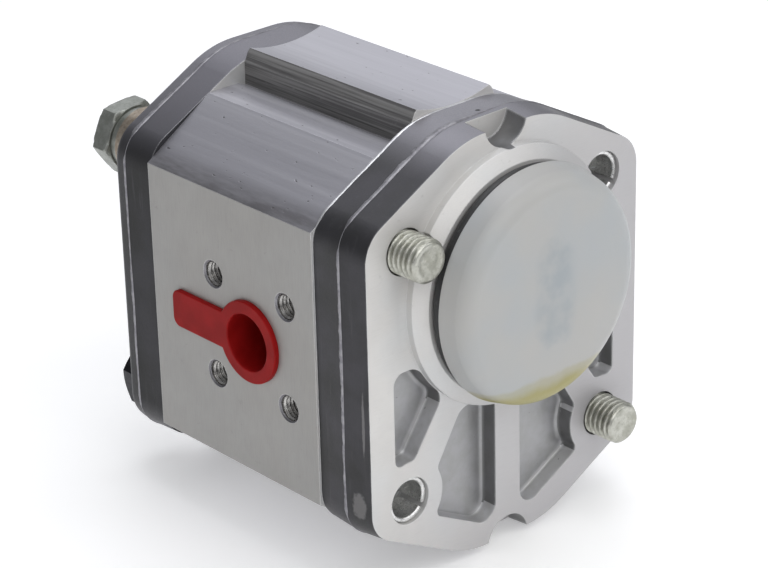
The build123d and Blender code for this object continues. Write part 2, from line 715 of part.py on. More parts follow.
def port_plug(side, port_radius, flange_radius, name):
    """Push-in plug: a thin cup, a flange on the port face and a pull tab towards the rear."""
    outside = beside(side * (BODY_HALF_WIDTH + SEAT))
    cup_radius = port_radius - 0.08
    with BuildPart() as plug:
        with BuildSketch(outside) as flange:
            Circle(flange_radius)
            with Locations((PLUG_TAB_REACH / 2, 0.3)):
                Rectangle(PLUG_TAB_REACH, PLUG_TAB_WIDTH)
            tab_end = flange.vertices().group_by(Axis.X)[-1]
            fillet(tab_end, 2.2)
        extrude(flange.sketch, amount=side * PLUG_FLANGE)
        extrude(circles(outside, [(0, 0)], cup_radius), amount=-side * PLUG_DEPTH)
        mouth = beside(side * (BODY_HALF_WIDTH + SEAT + PLUG_FLANGE))
        hollow = circles(mouth, [(0, 0)], cup_radius - PLUG_WALL)
        extrude(hollow, amount=-side * (PLUG_DEPTH + PLUG_FLANGE - 1.0), mode=Mode.SUBTRACT)
        outer_edges = plug.faces().sort_by(Axis.X)[-1 if side > 0 else 0].edges()
        fillet(outer_edges, 0.3)
    save(plug, name)


port_plug(-1, PRESSURE_PORT_R, 9.8, "pressure_port_plug")
port_plug(1, SUCTION_PORT_R, 12.4, "suction_port_plug")
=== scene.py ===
import json
from itertools import product
from math import atan2, cos, pi, radians, sin, tan

import bpy
from mathutils import Matrix, Vector, noise


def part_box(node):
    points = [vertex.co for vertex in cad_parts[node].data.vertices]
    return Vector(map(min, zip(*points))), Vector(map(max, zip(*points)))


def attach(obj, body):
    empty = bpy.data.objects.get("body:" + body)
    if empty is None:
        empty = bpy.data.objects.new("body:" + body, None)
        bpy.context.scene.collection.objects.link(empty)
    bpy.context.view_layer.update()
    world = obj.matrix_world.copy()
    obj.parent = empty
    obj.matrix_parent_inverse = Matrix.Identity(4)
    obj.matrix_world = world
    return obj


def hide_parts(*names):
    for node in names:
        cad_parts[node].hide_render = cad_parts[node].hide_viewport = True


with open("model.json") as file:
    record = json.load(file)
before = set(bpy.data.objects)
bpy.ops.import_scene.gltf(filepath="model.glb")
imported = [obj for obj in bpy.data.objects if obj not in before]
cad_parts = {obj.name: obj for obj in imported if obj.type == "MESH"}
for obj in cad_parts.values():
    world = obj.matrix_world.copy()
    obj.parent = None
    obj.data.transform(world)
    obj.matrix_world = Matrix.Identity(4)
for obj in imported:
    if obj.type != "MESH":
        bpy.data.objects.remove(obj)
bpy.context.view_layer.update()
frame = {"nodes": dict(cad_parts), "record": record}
nodes = frame["nodes"]
MM = 0.001

# Row frame: the origin is the pilot's centre in the mounting face, -Y is the front and +Z is up.
cover_low, cover_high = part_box("front_cover")
body_low, body_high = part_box("pump_body")
FLOOR_Z = body_low.z
MID_Z = (body_low.z + body_high.z) / 2


# ------------------------------------------------------------------ camera, floor and light
def add_camera():
    """Long lens from the front left and above, as the photograph was taken."""
    place = Vector((-0.39413, -0.40349, 0.25638))
    view = Vector((0.60329, 0.67995, -0.41678))
    roll = radians(1.435)
    data = bpy.data.cameras.new("camera")
    data.sensor_width = 36.0
    data.lens = 131.96
    data.clip_start = 0.05
    data.clip_end = 20.0
    camera = bpy.data.objects.new("camera", data)
    bpy.context.scene.collection.objects.link(camera)
    camera.matrix_world = (
        Matrix.Translation(place)
        @ Matrix.Rotation(roll, 4, view)
        @ view.to_track_quat("-Z", "Y").to_matrix().to_4x4()
    )
    bpy.context.scene.camera = camera


def add_floor():
    """Pale, slightly glowing paper under the pump."""
    mesh = bpy.data.meshes.new("floor")
    reach = 4.0
    corners = [(-reach, -reach), (reach, -reach), (reach, reach), (-reach, reach)]
    mesh.from_pydata([(x, y, FLOOR_Z) for x, y in corners], [], [(0, 1, 2, 3)])
    floor = bpy.data.objects.new("floor", mesh)
    bpy.context.scene.collection.objects.link(floor)
    paper = bpy.data.materials.new("paper")
    paper.use_nodes = True
    shader = paper.node_tree.nodes["Principled BSDF"]
    shader.inputs["Base Color"].default_value = (0.93, 0.93, 0.93, 1)
    shader.inputs["Roughness"].default_value = 0.9
    shader.inputs["Specular IOR Level"].default_value = 0.1
    shader.inputs["Emission Color"].default_value = (1, 1, 1, 1)
    shader.inputs["Emission Strength"].default_value = 0.30
    mesh.materials.append(paper)


def add_surroundings():
    """Even, slightly cool light from all around."""
    world = bpy.data.worlds.new("studio")
    world.use_nodes = True
    world.node_tree.nodes["Background"].inputs["Color"].default_value = (0.94, 0.96, 1.0, 1)
    world.node_tree.nodes["Background"].inputs["Strength"].default_value = 0.26
    bpy.context.scene.world = world
    bpy.context.scene.view_settings.view_transform = "Standard"


def add_light(name, place, target, size, power, colour=(1, 1, 1)):
    """Square softbox at a place, turned to its target."""
    data = bpy.data.lights.new(name, "AREA")
    data.shape = "SQUARE"
    data.size = size
    data.energy = power
    data.color = colour
    light = bpy.data.objects.new(name, data)
    light.location = place
    light.rotation_euler = (Vector(target) - Vector(place)).to_track_quat("-Z", "Y").to_euler()
    bpy.context.scene.collection.objects.link(light)


def add_lights():
    """Softboxes: the key from the front left, weaker ones around it."""
    centre = (0, 0.035, MID_Z)
    cool, warm = (0.95, 0.96, 1.0), (1.0, 0.98, 0.95)
    add_light("key", (-0.20, -0.62, 0.60), centre, 0.8, 3.4)
    add_light("right", (0.60, -0.58, 0.56), centre, 0.6, 1.6)
    add_light("top", (0.10, 0.10, 0.85), centre, 0.6, 3.0, cool)
    add_light("back", (0.45, 0.85, 0.62), centre, 0.9, 2.1, cool)
    add_light("left", (-0.75, -0.15, 0.35), centre, 0.5, 0.2, warm)


# ------------------------------------------------------------------ materials
class Surface:
    """Builds one node material around a Principled shader, textured in the piece's coordinates."""

    def __init__(self, name):
        self.material = bpy.data.materials.new(name)
        self.material.use_nodes = True
        self.tree = self.material.node_tree
        self.shader = self.tree.nodes["Principled BSDF"]
        self.place = self.add("ShaderNodeTexCoord").outputs["Object"]

    def add(self, kind, inputs=None, **settings):
        """Adds a node, sets its settings, and links or sets its inputs."""
        node = self.tree.nodes.new(kind)
        for key, value in settings.items():
            setattr(node, key, value)
        for key, value in (inputs or {}).items():
            self.give(node.inputs[key], value)
        return node

    def give(self, socket, value):
        """Links a socket to another, or sets it to a number or colour."""
        if isinstance(value, bpy.types.NodeSocket):
            self.tree.links.new(value, socket)
        elif isinstance(value, tuple) and len(value) == 3 and socket.type == "RGBA":
            socket.default_value = (*value, 1)
        else:
            socket.default_value = value

    def set(self, **inputs):
        """Sets inputs of the Principled shader, with _ for spaces."""
        for key, value in inputs.items():
            self.give(self.shader.inputs[key.replace("_", " ")], value)

    def stretched(self, x, y, z):
        """The piece's coordinates scaled along each axis."""
        return self.add("ShaderNodeMapping", {"Vector": self.place, "Scale": (x, y, z)}).outputs[0]

    def noise(self, size_mm, detail=3.0, rough=0.55, where=None):
        """Noise from 0 to 1 with patches of about size_mm."""
        inputs = {"Vector": where or self.place, "Scale": 1 / (size_mm * MM)}
        inputs.update({"Detail": detail, "Roughness": rough})
        return self.add("ShaderNodeTexNoise", inputs).outputs["Fac"]

    def remap(self, value, low, high, to_low=0.0, to_high=1.0):
        """Maps low..high to to_low..to_high, smoothly and clamped."""
        inputs = {"Value": value, "From Min": low, "From Max": high}
        inputs.update({"To Min": to_low, "To Max": to_high})
        node = self.add("ShaderNodeMapRange", inputs, interpolation_type="SMOOTHSTEP")
        return node.outputs["Result"]

    def math(self, operation, a, b=0.0):
        """Result of a Math node."""
        return self.add("ShaderNodeMath", {0: a, 1: b}, operation=operation).outputs[0]

    def vector_math(self, operation, a, b=(0.0, 0.0, 0.0)):
        """A Vector Math node."""
        return self.add("ShaderNodeVectorMath", {0: a, 1: b}, operation=operation)

    def height(self):
        """Height above or depth below the middle of the bolt square, in metres."""
        return self.math("ABSOLUTE", self.math("SUBTRACT", self.axis("Z"), MID_Z))

    def mix(self, share, a, b):
        """Colour a where share is 0 and b where it is 1."""
        node = self.add("ShaderNodeMix", data_type="RGBA")
        # A Mix node has sockets for each kind of value; these are the ones for colours.
        factor, first, second = node.inputs[0], node.inputs[6], node.inputs[7]
        result = node.outputs[2]
        self.give(factor, share)
        self.give(first, a)
        self.give(second, b)
        return result

    def axis(self, name):
        """One of the piece's coordinates, in metres."""
        return self.add("ShaderNodeSeparateXYZ", {0: self.place}).outputs[name]

    def spot(self, centre, size):
        """1 within a ragged ellipsoid, whose centre and half axes are in millimetres."""
        speck_mm, raggedness, outside, inside = 1.2, 0.9, 1.15, 0.75
        where = tuple(v * MM for v in centre)
        scale = tuple(1 / (v * MM) for v in size)
        offset = self.vector_math("SUBTRACT", self.place, where).outputs[0]
        scaled = self.vector_math("MULTIPLY", offset, scale).outputs[0]
        reach = self.vector_math("LENGTH", scaled).outputs["Value"]
        ragged = self.math("MULTIPLY", self.math("SUBTRACT", self.noise(speck_mm), 0.5), raggedness)
        return self.remap(self.math("ADD", reach, ragged), outside, inside)

    def edges(self, radius_mm):
        """0 on flat areas, rising to 1 at edges within radius_mm, and the rounded normal."""
        # Cosines of the angle between the rounded and the true normal.
        still_flat, full_edge = 0.995, 0.90
        bevel = self.add("ShaderNodeBevel", {"Radius": radius_mm * MM}, samples=4)
        flat = self.add("ShaderNodeNewGeometry").outputs["Normal"]
        aligned = self.vector_math("DOT_PRODUCT", bevel.outputs[0], flat).outputs["Value"]
        return self.remap(aligned, still_flat, full_edge), bevel.outputs[0]

    def bump(self, height, depth_mm, normal=None):
        """Gives the shader a bump of a height from 0 to 1 over depth_mm, on top of a normal."""
        inputs = {"Height": height, "Distance": depth_mm * MM, "Strength": 1.0}
        if normal:
            inputs["Normal"] = normal
        self.set(Normal=self.add("ShaderNodeBump", inputs).outputs[0])


def cast_skin(name, tone, lit_from, lit_to, pale, pores=(), patches=()):
    """Die-cast skin of a cover's sides: dark low down, paler up the slopes and on the crowns as
    painted light, and paler on edges by wear and painted highlight.

    lit_from and lit_to are heights in millimetres. pores and patches are (centre, half axes) of
    dark and of scraped spots, in millimetres.
    """
    dark, light = (tone * 0.78,) * 3, (tone * 1.2, tone * 1.17, tone * 1.3)
    streak_grey, worn_and_highlit_grey = (0.20, 0.195, 0.21), (0.42, 0.42, 0.43)
    scraped_grey, pore_black = (0.22, 0.215, 0.215), (0.010, 0.010, 0.011)
    slope_from, slope_to, slope_light_share, crown_light_share = 33.0, 39.0, 0.18, 0.82
    s = Surface(name)
    edge_wear_and_highlight, rounded = s.edges(0.5)
    clouds = s.noise(14.0, 3.0, 0.5)
    grain = s.noise(0.35, 2.0)
    streaks = s.noise(1.4, 3.0, 0.55, s.stretched(1.0, 1.0, 0.10))
    colour = s.mix(s.remap(clouds, 0.3, 0.7), dark, light)
    height = s.height()
    # Painted light: the skin turns towards pale, the colour of this painted light, up the slopes
    # and on the crowns, standing for light from above.
    slope = s.remap(height, slope_from * MM, slope_to * MM, 0.0, slope_light_share)
    crown = s.remap(height, lit_from * MM, lit_to * MM, 0.0, crown_light_share)
    colour = s.mix(s.math("ADD", slope, crown), colour, pale)
    colour = s.mix(s.math("MULTIPLY", s.remap(streaks, 0.55, 0.80), 0.10), colour, streak_grey)
    # Paler edges: partly wear, partly a painted highlight.
    wear_and_highlight_share = s.math("MULTIPLY", edge_wear_and_highlight, s.remap(s.noise(3.5, 3.0), 0.35, 0.6, 0.30, 0.85))
    colour = s.mix(wear_and_highlight_share, colour, worn_and_highlit_grey)
    for centre, size in patches:
        scraped = s.math("MULTIPLY", s.spot(centre, size), 0.6)
        colour = s.mix(scraped, colour, scraped_grey)
    for centre, size in pores:
        colour = s.mix(s.spot(centre, size), colour, pore_black)
    s.set(Base_Color=colour, Metallic=0.75)
    s.set(Roughness=s.remap(grain, 0.3, 0.7, 0.36, 0.48))
    relief = s.math("ADD", s.math("MULTIPLY", clouds, 1.5), s.math("MULTIPLY", grain, 0.4))
    s.bump(relief, 0.05, rounded)
    return s.material


def milled_face(name, tone, warm, cool, scratch_axis, rim_shadow=False, fade=0.0):
    """Machined aluminium with faint tool lines along the x or z axis.

    warm and cool are shares of yellow in its tone and of bluish clouds on it. rim_shadow paints it
    dark beyond the slopes as a painted shadow, and fade is the share of its tone lost from upper
    left to lower right, a painted shade.
    """
    pale = (tone, tone * (1 - warm * 0.4), tone * (1 - warm))
    deep, line_grey, stain_grey = (tuple(v * share for v in pale) for share in (0.93, 0.75, 0.6))
    blue_grey, worn_and_highlit_metal = (tone * 0.90, tone * 0.96, tone), (0.9, 0.9, 0.9)
    s = Surface(name)
    edge_wear_and_highlight, rounded = s.edges(0.35)
    stretch = {"x": (0.06, 1, 1), "z": (1, 1, 0.06)}[scratch_axis]
    lines = s.noise(0.22, 3.0, 0.6, s.stretched(*stretch))
    clouds = s.noise(14.0, 3.0)
    stains = s.noise(3.0, 5.0, 0.65)
    colour = s.mix(s.remap(clouds, 0.3, 0.7), deep, pale)
    bluish = s.math("MULTIPLY", s.remap(s.noise(26.0, 2.0), 0.42, 0.62), cool)
    colour = s.mix(bluish, colour, blue_grey)
    ruled = s.math("MULTIPLY", s.remap(lines, 0.5, 0.8), 0.15)
    colour = s.mix(ruled, colour, line_grey)
    stained = s.math("MULTIPLY", s.remap(stains, 0.62, 0.75), 0.35)
    colour = s.mix(stained, colour, stain_grey)
    if fade:
        # Painted shade: the tone darkens from upper left to lower right.
        lit_end, shaded_end = 38.0 * MM, -50.0 * MM
        along = s.math("SUBTRACT", s.math("MULTIPLY", s.axis("Z"), 0.5), s.axis("X"))
        shaded_grey = (tone * (1 - fade), tone * (1 - fade) * 0.98, tone * (1 - fade))
        colour = s.mix(s.remap(along, lit_end, shaded_end), colour, shaded_grey)
    # Paler edges: partly wear, partly a painted highlight.
    colour = s.mix(s.math("MULTIPLY", edge_wear_and_highlight, 0.5), colour, worn_and_highlit_metal)
    if rim_shadow:
        # Painted shadow: the joint face is painted near black where it stands out beyond the body's
        # slopes.
        # The slopes of the body lean by this much, and the cover stands out beyond them.
        lean, painted_shadow_grey = radians(32.75), (0.035, 0.034, 0.038)
        slope_end, rim_start = 50.2 * MM, 50.4 * MM
        crown_end, slope_start = 22.0 * MM, 25.0 * MM
        across = s.math("ABSOLUTE", s.axis("X"))
        sideways = s.math("MULTIPLY", across, sin(lean))
        upwards = s.math("MULTIPLY", s.height(), cos(lean))
        beyond = s.remap(s.math("ADD", sideways, upwards), slope_end, rim_start)
        beside = s.remap(across, crown_end, slope_start)
        colour = s.mix(s.math("MULTIPLY", beyond, beside), colour, painted_shadow_grey)
    s.set(Base_Color=colour, Metallic=0.42)
    s.set(Roughness=s.remap(lines, 0.3, 0.7, 0.45, 0.58))
    s.bump(lines, 0.006, rounded)
    return s.material


def extruded():
    """Body's extruded top and slopes: draw lines along Y, a dark blotchy band low down, part dirt
    and part painted shade, and small pits.
    """
    ridge_top_grey, worn_and_highlit_grey = (0.47, 0.465, 0.50), (0.80, 0.80, 0.82)
    dark_band, pale_band = (0.40, 0.395, 0.43), (0.52, 0.515, 0.55)
    line_grey, grime_and_shade_grey, pit_grey = (0.30, 0.295, 0.32), (0.125, 0.12, 0.127), (0.12, 0.115, 0.12)
    ridge_top, below_ridge_top = 50.5 * MM, 49.0 * MM
    plain_above, dark_below = 37.2 * MM, 33.6 * MM
    s = Surface("extruded")
    edge_wear_and_highlight, rounded = s.edges(0.3)
    lines = s.noise(0.9, 4.0, 0.65, s.stretched(1.0, 0.02, 1.0))
    bands = s.noise(4.5, 2.0, 0.5, s.stretched(1.0, 0.01, 1.0))
    pits = s.noise(0.9, 2.0, 0.5, s.stretched(1.0, 0.45, 1.0))
    blots = s.noise(2.6, 5.0, 0.65, s.stretched(1.0, 0.2, 1.0))
    height = s.height()
    drawn = s.remap(height, ridge_top, below_ridge_top, 0.15, 1.0)
    banded = s.mix(s.remap(bands, 0.35, 0.65), dark_band, pale_band)
    colour = s.mix(drawn, ridge_top_grey, banded)
    ruled = s.math("MULTIPLY", s.remap(lines, 0.45, 0.75), s.math("MULTIPLY", drawn, 0.25))
    colour = s.mix(ruled, colour, line_grey)
    # Low on the slopes a dark blotchy band: dirt, and painted shade for the darker lower part of
    # the slopes.
    low = s.remap(height, plain_above, dark_below)
    grime_and_shade = s.math("MULTIPLY", low, s.remap(blots, 0.35, 0.65, 0.60, 0.88))
    colour = s.mix(grime_and_shade, colour, grime_and_shade_grey)
    colour = s.mix(s.remap(pits, 0.71, 0.77), colour, pit_grey)
    # Paler edges: partly wear, partly a painted highlight.
    colour = s.mix(s.math("MULTIPLY", edge_wear_and_highlight, 0.6), colour, worn_and_highlit_grey)
    s.set(Base_Color=colour, Metallic=0.7)
    s.set(Roughness=s.remap(lines, 0.3, 0.7, 0.36, 0.5))
    drawing = s.math("MULTIPLY", s.math("ADD", lines, bands), drawn)
    relief = s.math("SUBTRACT", drawing, s.remap(pits, 0.69, 0.77, 0.0, 3.0))
    s.bump(relief, 0.02, rounded)
    return s.material


def ridge_flank():
    """Dark flanks of the body's ridges, with strong draw lines from the extrusion die."""
    dark_line, pale_line = (0.15, 0.146, 0.146), (0.31, 0.305, 0.30)
    mark_grey, worn_and_highlit_grey = (0.36, 0.355, 0.35), (0.45, 0.45, 0.46)
    s = Surface("ridge_flank")
    edge_wear_and_highlight, rounded = s.edges(0.25)
    lines = s.noise(0.75, 3.0, 0.6, s.stretched(1.0, 0.015, 1.0))
    marks = s.noise(1.2, 3.0, 0.6, s.stretched(1.0, 0.5, 1.0))
    colour = s.mix(s.remap(lines, 0.38, 0.62), dark_line, pale_line)
    colour = s.mix(s.math("MULTIPLY", s.remap(marks, 0.62, 0.74), 0.5), colour, mark_grey)
    # Paler edges: partly wear, partly a painted highlight.
    colour = s.mix(s.math("MULTIPLY", edge_wear_and_highlight, 0.4), colour, worn_and_highlit_grey)
    s.set(Base_Color=colour, Metallic=0.7)
    s.set(Roughness=s.remap(lines, 0.3, 0.7, 0.40, 0.55))
    s.bump(lines, 0.06, rounded)
    return s.material


def pocket_cast(name, tone):
    """Cast surface of the pockets, with flow marks and pits; tone is its grey."""
    dark, light = (tone * 0.91,) * 3, (tone * 1.06, tone * 1.06, tone * 1.09)
    pit_grey, worn_and_highlit_grey = (0.16, 0.155, 0.15), (0.8, 0.8, 0.8)
    s = Surface(name)
    edge_wear_and_highlight, rounded = s.edges(0.9)
    clouds = s.noise(5.0, 4.0, 0.6)
    pits = s.noise(0.9, 3.0, 0.6)
    colour = s.mix(s.remap(clouds, 0.35, 0.65), dark, light)
    colour = s.mix(s.remap(pits, 0.68, 0.76), colour, pit_grey)
    # Painted highlight: edges and fillets within 0.9 mm, the hollow ones too, are painted pale; on
    # the outer edges this is partly wear.
    colour = s.mix(s.math("MULTIPLY", edge_wear_and_highlight, 0.5), colour, worn_and_highlit_grey)
    s.set(Base_Color=colour, Metallic=0.6)
    s.set(Roughness=s.remap(clouds, 0.3, 0.7, 0.34, 0.48))
    s.bump(s.math("ADD", clouds, s.math("MULTIPLY", pits, 0.5)), 0.05, rounded)
    return s.material


def plated(name, pale, deep, roughness=0.32, dirt=(0.10, 0.09, 0.07)):
    """Plated or ground steel with cloudy plate and specks of dirt."""
    s = Surface(name)
    edge_wear_and_highlight, rounded = s.edges(0.2)
    clouds = s.noise(2.2, 4.0, 0.6)
    specks = s.noise(0.5, 3.0, 0.6)
    colour = s.mix(s.remap(clouds, 0.35, 0.65), deep, pale)
    colour = s.mix(s.math("MULTIPLY", s.remap(specks, 0.60, 0.75), 0.5), colour, dirt)
    # Paler edges: partly wear, partly a painted highlight.
    colour = s.mix(s.math("MULTIPLY", edge_wear_and_highlight, 0.4), colour, tuple(min(1.0, v * 1.35) for v in pale))
    s.set(Base_Color=colour, Metallic=0.9)
    s.set(Roughness=s.remap(specks, 0.3, 0.7, roughness - 0.05, roughness + 0.12))
    s.bump(s.math("ADD", clouds, specks), 0.01, rounded)
    return s.material


def black_rubber():
    """Satin nitrile rubber with dust."""
    clean, dusty = (0.018, 0.018, 0.019), (0.06, 0.06, 0.062)
    s = Surface("black_rubber")
    dust = s.noise(0.8, 4.0, 0.6)
    colour = s.mix(s.remap(dust, 0.55, 0.8), clean, dusty)
    s.set(Base_Color=colour, Roughness=s.remap(dust, 0.3, 0.7, 0.35, 0.5))
    s.bump(dust, 0.01)
    return s.material


def plug_red():
    """Deep red moulded polyethylene, slightly waxy."""
    deep_red, mid_red, edge_red = (0.25, 0.006, 0.006), (0.32, 0.009, 0.009), (0.45, 0.03, 0.03)
    s = Surface("plug_red")
    edge_wear_and_highlight, rounded = s.edges(0.25)
    flow = s.noise(5.0, 3.0, 0.5)
    grain = s.noise(0.25, 2.0)
    colour = s.mix(s.remap(flow, 0.3, 0.7), deep_red, mid_red)
    # Brighter red edges: partly wear, partly a painted highlight.
    colour = s.mix(s.math("MULTIPLY", edge_wear_and_highlight, 0.35), colour, edge_red)
    s.set(Base_Color=colour, Subsurface_Weight=0.05, Subsurface_Scale=0.001)
    s.set(Subsurface_Radius=(1.0, 0.15, 0.1), Specular_IOR_Level=0.08)
    s.set(Roughness=s.remap(grain, 0.3, 0.7, 0.36, 0.46))
    s.bump(s.math("ADD", flow, s.math("MULTIPLY", grain, 0.3)), 0.02, rounded)
    return s.material


def cap_milky():
    """Translucent natural polyethylene: yellow oil low on the inside, and a painted shade of the
    tongue behind it.
    """
    warm_white, cool_white = (0.605, 0.60, 0.58), (0.56, 0.585, 0.595)
    tongue_shade_blue, oil_yellow = (0.36, 0.42, 0.46), (0.43, 0.38, 0.09)
    oil_top, oil_middle, oil_deep = -18.8 * MM, -20.2 * MM, -23.0 * MM
    shade_half_width, shade_half_height = 4.6 * MM, 11.5 * MM
    s = Surface("cap_milky")
    _, rounded = s.edges(0.4)
    flow = s.noise(9.0, 3.0, 0.5)
    fine = s.noise(0.5, 2.0)
    across_x, up_z = s.axis("X"), s.axis("Z")
    wander = s.math("MULTIPLY", s.math("SUBTRACT", s.noise(6.0, 3.0), 0.5), 8.0 * MM)
    level = s.math("ADD", up_z, s.math("MULTIPLY", wander, 0.3))
    thin = s.remap(level, oil_top, oil_middle, 0.0, 0.35)
    oil = s.math("ADD", thin, s.remap(level, oil_middle, oil_deep, 0.0, 0.5))
    # Painted shade: a bluish patch stands where the tongue touches the cap from inside, for the
    # tongue's dark seen through the cap.
    off_middle = s.math("ADD", across_x, s.math("MULTIPLY", wander, 0.3))
    x_share = s.math("DIVIDE", off_middle, shade_half_width)
    z_share = s.math("DIVIDE", s.math("ADD", up_z, wander), shade_half_height)
    x_reach = s.math("POWER", s.math("ABSOLUTE", x_share), 2.0)
    z_reach = s.math("POWER", s.math("ABSOLUTE", z_share), 6.0)
    over_tongue = s.remap(s.math("ADD", x_reach, z_reach), 2.6, 0.2)
    tongue_shade = s.math("MULTIPLY", over_tongue, s.remap(s.noise(5.0, 2.0), 0.30, 0.70, 0.15, 0.50))
    tints = s.remap(s.noise(20.0, 2.0), 0.3, 0.7)
    colour = s.mix(tints, warm_white, cool_white)
    colour = s.mix(tongue_shade, colour, tongue_shade_blue)
    colour = s.mix(oil, colour, oil_yellow)
    s.set(Base_Color=colour, Transmission_Weight=0.30, IOR=1.5)
    s.set(Subsurface_Weight=0.35, Subsurface_Scale=0.003, Subsurface_Radius=(1.0, 1.0, 0.9))
    s.set(Roughness=s.remap(fine, 0.3, 0.7, 0.34, 0.44))
    s.bump(s.math("ADD", flow, s.math("MULTIPLY", fine, 0.1)), 0.05, rounded)
    return s.material


def backup_white():
    """Unfilled plastic of the backup strips."""
    ivory, pale_ivory = (0.78, 0.76, 0.70), (0.86, 0.85, 0.80)
    s = Surface("backup_white")
    grain = s.noise(0.6, 3.0)
    s.set(Base_Color=s.mix(grain, ivory, pale_ivory), Roughness=0.5)
    s.bump(grain, 0.01)
    return s.material


front_pores = [((0.7, 9.4, 35.5), (0.55, 0.55, 0.55))]
front_scrapes = [((-41.4, 3.7, -43.9), (4.0, 2.0, 3.3)), ((-41.3, 1.9, -23.5), (4.0, 0.4, 8.0))]
# The covers' skins carry painted light on their slopes and crowns.
skin = cast_skin("front_skin", 0.050, 44.0, 50.5, (0.27, 0.265, 0.29), front_pores, front_scrapes)
rear_skin = cast_skin("rear_skin", 0.033, 28.0, 50.5, (0.22, 0.215, 0.24))
# The machined faces carry a painted shade, darker towards the lower right.
face_metal = milled_face("milled_front", 0.70, 0.05, 0.30, "x", fade=0.30)
# The rear cover's joint face carries a painted shadow beyond the body's slopes.
joint_metal = milled_face("milled_joint", 0.61, 0.05, 0.35, "x", rim_shadow=True)
port_metal = milled_face("milled_port", 0.375, 0.07, 0.10, "z")
# The pockets' cast surface in three tones: the floors', a darker copy for the walls as painted
# shade, and a paler copy for walls facing up as painted light.
pocket_floor = pocket_cast("pocket_floor", 0.40)
pocket_wall_shaded = pocket_cast("pocket_wall_shaded", 0.20)
pocket_sill_lit = pocket_cast("pocket_sill_lit", 0.62)
body_metal = extruded()
flank_metal = ridge_flank()
zinc = plated("zinc_plate", (0.52, 0.52, 0.47), (0.38, 0.38, 0.33))
head_zinc = plated("dull_zinc", (0.33, 0.34, 0.315), (0.26, 0.27, 0.245), 0.38, (0.17, 0.17, 0.155))
yellow_zinc = plated("yellow_zinc", (0.45, 0.39, 0.32), (0.29, 0.24, 0.19), 0.42)
ground_steel = plated("ground_steel", (0.40, 0.43, 0.48), (0.30, 0.33, 0.38), 0.25)
spring_steel = plated("spring_steel", (0.55, 0.55, 0.54), (0.38, 0.38, 0.37), 0.28)
sleeve_steel = plated("sleeve_steel", (0.80, 0.80, 0.79), (0.60, 0.60, 0.59), 0.28)
# Painted light: the screws' ends, deep in the front holes, are given a light grey against the shade
# there.
lit_screw_end = plated("lit_screw_end", (0.50, 0.50, 0.49), (0.38, 0.38, 0.37), 0.45)
bearing_metal = plated("bearing_alloy", (0.55, 0.53, 0.49), (0.42, 0.41, 0.38), 0.4)
black_oxide = plated(
    "black_oxide", (0.030, 0.030, 0.036), (0.018, 0.018, 0.022), 0.34, (0.07, 0.06, 0.05)
)
thread_metal = plated(
    "cut_thread", (0.55, 0.54, 0.52), (0.30, 0.29, 0.28), 0.25, (0.03, 0.03, 0.03)
)
flash_metal = plated(
    "trimmed_flash", (0.36, 0.355, 0.375), (0.23, 0.225, 0.245), 0.44, (0.12, 0.115, 0.13)
)
# Bright metal for the covers' edge at the body: part scraped burr, part painted highlight.
burr_and_highlight_metal = plated(
    "scraped_and_highlit_edge", (0.74, 0.74, 0.75), (0.58, 0.58, 0.60), 0.34, (0.30, 0.29, 0.30)
)
rubber = black_rubber()
backup = backup_white()
red = plug_red()
milky = cap_milky()

# Nodes of one material throughout.
whole = {
    "front_bearing_block": bearing_metal, "rear_bearing_block": bearing_metal,
    "front_axial_seal": rubber, "rear_axial_seal": rubber,
    "front_backup_strips": backup, "rear_backup_strips": backup,
    "front_body_seal": rubber, "rear_body_seal": rubber,
    "front_dowels": spring_steel, "rear_dowels": spring_steel,
    "shaft_seal": rubber, "seal_spring": spring_steel, "seal_retaining_ring": spring_steel,
    "pilot_seal_ring": rubber, "mounting_spacers": yellow_zinc, "lock_washers": head_zinc,
    "locating_sleeves": sleeve_steel,
    "drive_gear_shaft": ground_steel, "driven_gear_shaft": ground_steel,
    "drive_coupling": ground_steel,
    "pilot_cap": milky, "pressure_port_plug": red, "suction_port_plug": red,
}


# ------------------------------------------------------------------ materials on the CAD nodes
# Indexes of the covers' and of the body's materials, in the order in which dress_nodes gives them.
SKIN, MACHINED, POCKET_FLOOR, POCKET_WALL_SHADED, POCKET_SILL_LIT, JOINT = range(6)
DRAWN, PORT_FACE, RIDGE_FLANK, BODY_END = range(4)
# Least share of a normal along an axis that counts as square to it, and the reach of a station.
SQUARE = 0.999
NEAR = 0.1 * MM


def mount(name):
    """A mount of the record."""
    return next(m for m in frame["record"]["mounts"] if m["name"] == name)


def bolt_reach():
    """Distance of each bolt from the middle of the square pattern, along X and along Z."""
    return mount("mounting_studs")["dims"]["pcd_mm"] * MM / 2 * cos(pi / 4)


def inside_rim(x, z):
    """Whether a place is inside a cover's rim; x and z are from the middle of the cover."""
    corner_z, lean, rim = 35.5 * MM, radians(28.0), 2.5 * MM
    to_side = (cover_high.x - cover_low.x) / 2 - x
    to_crown = (cover_high.z - MID_Z) - z
    to_slope = to_side * sin(lean) + (corner_z - z) * cos(lean)
    return min(to_side, to_crown, to_slope) > rim


def in_notch(x, y, z, upright):
    """Whether a place on the front cover is on a notch's wall, and not on the crown beside it."""
    half_width, depth, low, crown = 6.5 * MM, 6.5 * MM, 44 * MM, 48.5 * MM
    behind_face = 0.02 * MM
    return x < half_width and z > low and behind_face < y < depth and (z < crown or upright)


